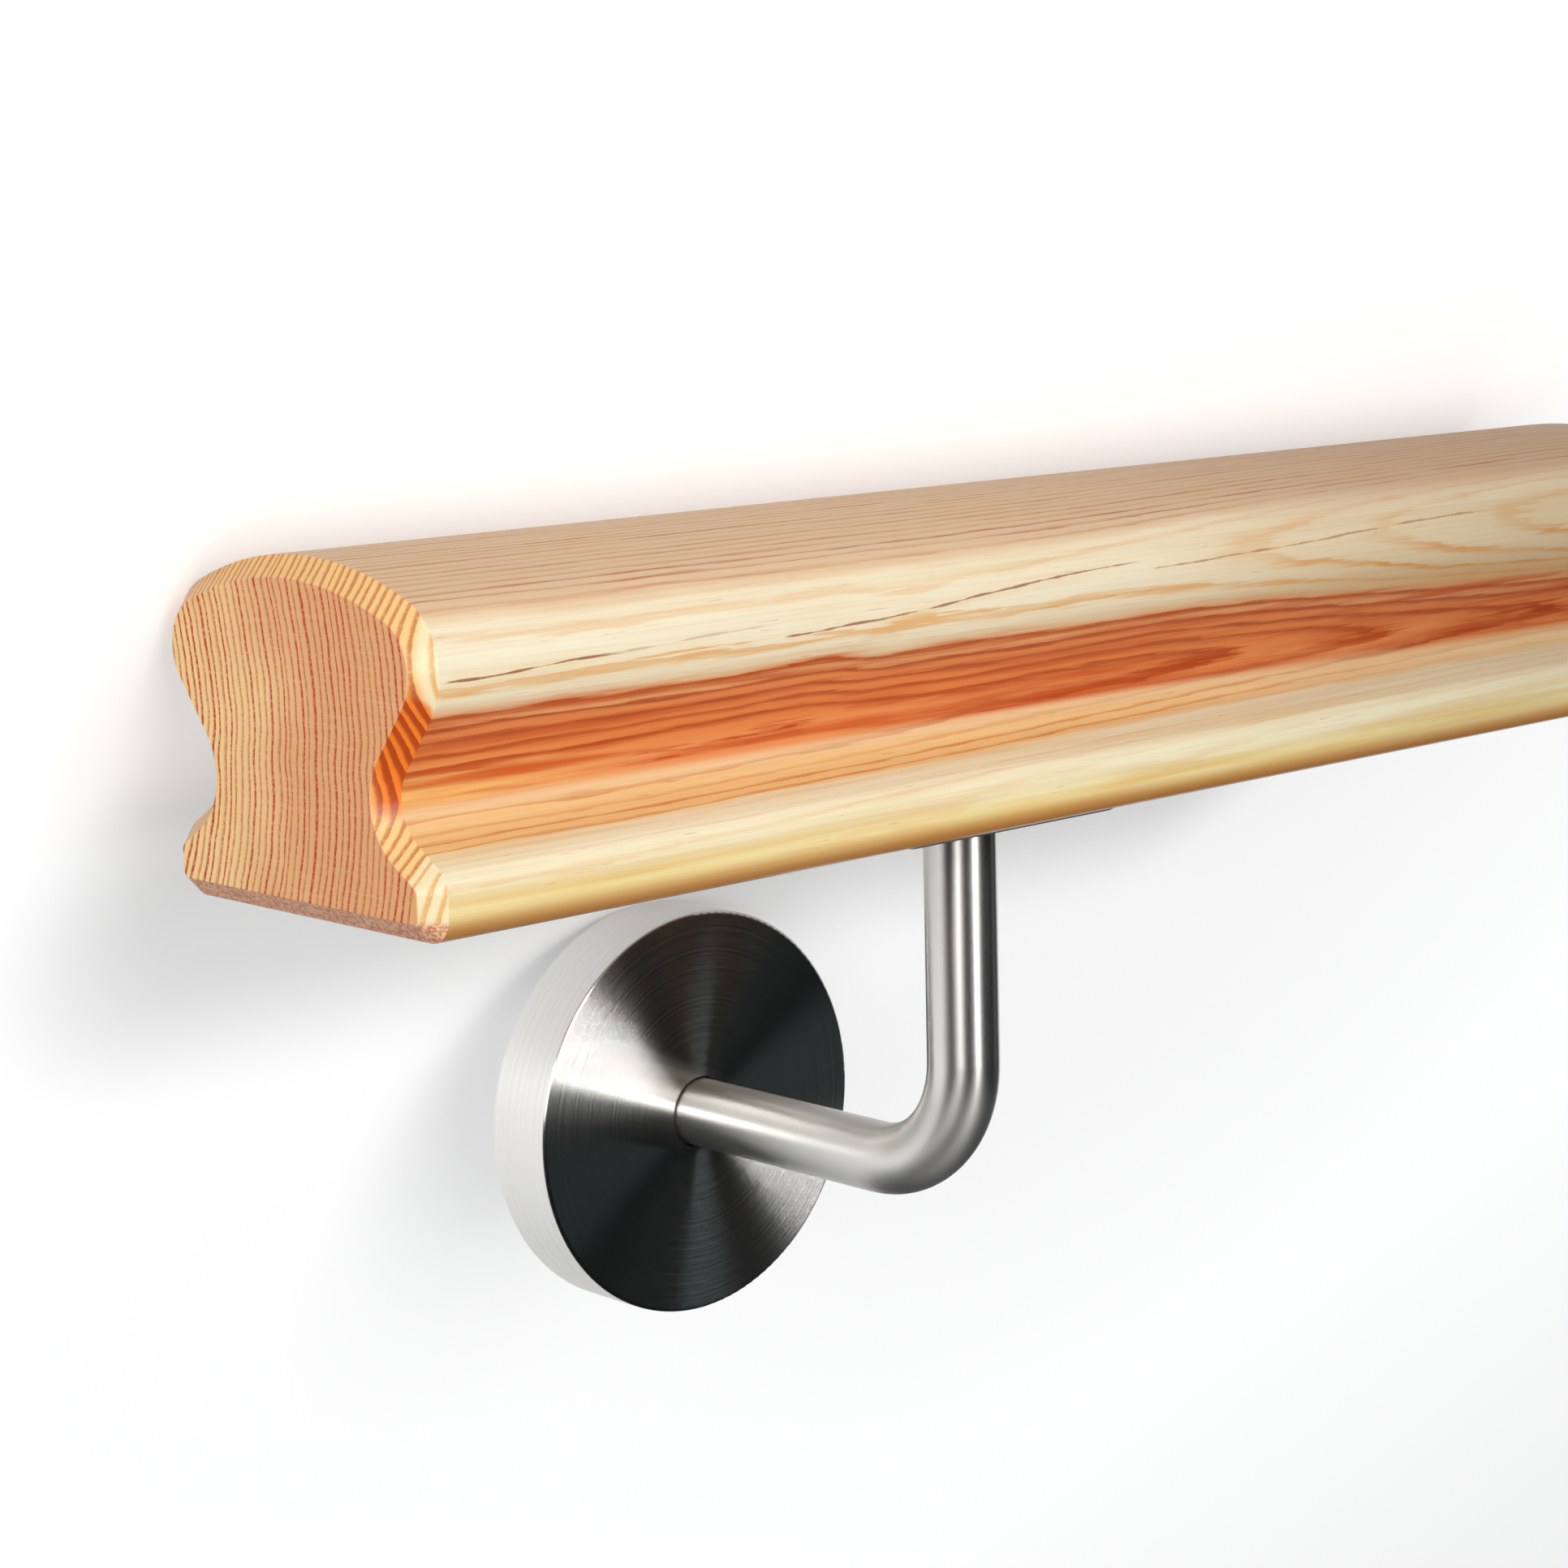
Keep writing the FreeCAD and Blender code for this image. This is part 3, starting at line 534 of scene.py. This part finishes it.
# Each mark of the lathe tool leans the surface a little, in or out
cut_line = calc(tree, "ADD", radius, depth)
first, second = [by_chance(tree, calc(tree, "MULTIPLY", cut_line, count)) for count in MARKS_PER_MM]
chance = calc(tree, "SUBTRACT", calc(tree, "ADD", first, second), 1.0)
ridges = calc(tree, "SUBTRACT", cloud_along(tree, cut_line, 3.0, 3.0), 0.5)
lean = calc(tree, "ADD", calc(tree, "MULTIPLY", chance, 0.8), calc(tree, "MULTIPLY", ridges, 0.3))
tilt = calc(tree, "MULTIPLY", lean, step(tree, on_rim, 0.0, 1.0, FACE_TILT, RIM_TILT))
surface = put(tree, "ShaderNodeNewGeometry").outputs["Normal"]
leaning = arrow(tree, "ADD", surface, scaled(tree, across_marks, tilt))
feed(tree, shader.inputs["Normal"], arrow(tree, "NORMALIZE", leaning))
bands = cloud_along(tree, cut_line, 2.2, 4.0)
feed(tree, shader.inputs["Base Color"], blend(tree, step(tree, bands, 0.35, 0.65), DULL_STEEL, BRIGHT_STEEL))
feed(tree, shader.inputs["Metallic"], 1.0)
feed(tree, shader.inputs["Roughness"], step(tree, bands, 0.3, 0.7, 0.22, 0.27))
feed(tree, shader.inputs["Anisotropic"], 0.97)
feed(tree, shader.inputs["Tangent"], across_marks)
dress("rosette_cover", turned_steel)

# Floor: a wide floor painted matt white, which the piece lies on and which takes its soft shadow. It
# glows a little towards the lens, so that it shows white while the lamps stay at a plain level.
SHADOW_RISE = 0.06
SHADOW_INSET = 0.035


def shown(tree):
    """1 for the rays that show a background: from the lens, off shiny metal and through clear pieces."""
    rays = put(tree, "ShaderNodeLightPath").outputs
    seen = calc(tree, "ADD", rays["Is Camera Ray"], rays["Is Glossy Ray"])
    return calc(tree, "ADD", seen, rays["Is Transmission Ray"])


bpy.ops.mesh.primitive_plane_add(size=8)
floor = bpy.context.object
floor.name = "studio_floor"
white_floor, tree, shader, place = new_material("white_floor")
feed(tree, shader.inputs["Base Color"], (0.785, 0.79, 0.79))
feed(tree, shader.inputs["Roughness"], 0.9)
feed(tree, shader.inputs["Specular IOR Level"], 0.0)
feed(tree, shader.inputs["Emission Color"], (0.99, 0.995, 1.0))

# Painted shadow: the glow is weakest in a line under the rail and lower all round the piece, which darkens
# the floor there on top of the rail's own shadow
shadow_line = hung @ Vector(((NEAR_END + HALF_LENGTH) * ONE_MM, 0, SHADOW_RISE))
half_shadow = HALF_LENGTH * ONE_MM - SHADOW_INSET
split = put(tree, "ShaderNodeSeparateXYZ")
feed(tree, split.inputs["Vector"], place)
past_end = calc(tree, "ABSOLUTE", calc(tree, "SUBTRACT", split.outputs["X"], shadow_line.x))
past_end = calc(tree, "MAXIMUM", calc(tree, "SUBTRACT", past_end, half_shadow), 0.0)
beside = calc(tree, "SUBTRACT", split.outputs["Y"], shadow_line.y)
away = slant(tree, past_end, beside)
near_glow = step(tree, away, 0.012, 0.05, 0.16, 0.42)
wide_glow = step(tree, away, 0.06, 0.34, 0.0, 0.14)
glow = calc(tree, "ADD", near_glow, wide_glow)
feed(tree, shader.inputs["Emission Strength"], calc(tree, "MULTIPLY", shown(tree), glow))
floor.data.materials.append(white_floor)

# Studio: a tent of dark cloth that only the shine of steel and lacquer shows, soft boxes on stands that
# face the rail, and a pale sky for the shade.
TENT_RADIUS = 2.6
TENT_HEM = 0.02

bpy.ops.object.select_all(action="DESELECT")
bpy.ops.mesh.primitive_uv_sphere_add(segments=48, ring_count=24, radius=TENT_RADIUS)
tent = bpy.context.object
tent.name = "dark_tent"
bpy.ops.object.mode_set(mode="EDIT")
bpy.ops.mesh.select_all(action="SELECT")
bpy.ops.mesh.bisect(plane_co=(0, 0, TENT_HEM), plane_no=(0, 0, 1), clear_inner=True)
bpy.ops.object.mode_set(mode="OBJECT")
dark_cloth, tree, shader, place = new_material("dark_cloth")
feed(tree, shader.inputs["Base Color"], (0.012, 0.016, 0.018))
feed(tree, shader.inputs["Roughness"], 1.0)
tent.data.materials.append(dark_cloth)
tent.visible_camera = False
tent.visible_diffuse = False
tent.visible_shadow = False
tent.visible_transmission = False

rail_middle = hung @ Vector((0.02, -WALL_TO_BAR, RAIL_RISE + 0.025))


def soft_box(name, direction, distance, size, watts, colour=(1.0, 1.0, 1.0), fill=True, shine=True):
    """An area lamp that looks at the middle of the rail, from a direction of the hung rail."""
    way = (hung.to_3x3() @ Vector(direction)).normalized()
    bpy.ops.object.light_add(type="AREA", location=rail_middle + way * distance)
    lamp = bpy.context.object
    lamp.name = name
    lamp.rotation_euler = way.to_track_quat("Z", "Y").to_euler()
    lamp.data.shape = "RECTANGLE"
    lamp.data.size, lamp.data.size_y = size
    lamp.data.energy = watts
    lamp.data.color = colour
    lamp.visible_diffuse = fill
    lamp.visible_glossy = shine


soft_box("front_fill", (-0.2, -0.975, 0.07), 1.15, (0.85, 0.85), 8.0, shine=False)
soft_box("end_box", (-0.84, -0.54, 0.15), 1.4, (0.5, 0.7), 7.0)
soft_box("low_fill", (0, -0.809, -0.588), 1.6, (1.6, 1.6), 1.6, shine=False)
soft_box("front_strip", (0.0, -0.97, 0.19), 1.4, (0.3, 0.78), 11.0, fill=False)
soft_box("side_card", (0.66, -0.65, 0.37), 1.5, (0.5, 0.42), 0.65, (0.78, 0.94, 1.0), fill=False)
soft_box("far_card", (0.93, -0.28, -0.24), 1.5, (0.35, 0.35), 0.07, (0.8, 0.95, 1.0), fill=False)

sky = bpy.data.worlds.new("pale_sky")
bpy.context.scene.world = sky
sky.use_nodes = True
tree = sky.node_tree
background = tree.nodes["Background"]
feed(tree, background.inputs["Color"], (1.0, 1.0, 1.0))
feed(tree, background.inputs["Strength"], step(tree, shown(tree), 0.0, 1.0, 0.25, 1.0))

# Camera: a portrait lens in front of the near end, level with the rail as it hangs, that looks along the
# rail towards the bracket.
CAMERA_AT = Vector((-0.4033348, -0.4690481, 0.1582748))
YAW, PITCH, ROLL = 0.7513, 0.1626, -0.0251

ahead = Vector((math.sin(YAW) * math.cos(PITCH), math.cos(YAW) * math.cos(PITCH), -math.sin(PITCH)))
level_right = ahead.cross(Vector((0, 0, 1))).normalized()
level_up = level_right.cross(ahead)
right = level_right * math.cos(ROLL) + level_up * math.sin(ROLL)
upright = level_up * math.cos(ROLL) - level_right * math.sin(ROLL)
aim = Matrix((right, upright, -ahead)).transposed().to_4x4()
aim.translation = CAMERA_AT
bpy.ops.object.camera_add()
camera = bpy.context.object
camera.matrix_world = hung @ aim
camera.data.lens = 81.0
camera.data.sensor_width = 36.0
camera.data.clip_start = 0.01
bpy.context.scene.camera = camera
bpy.context.scene.view_settings.view_transform = "Standard"
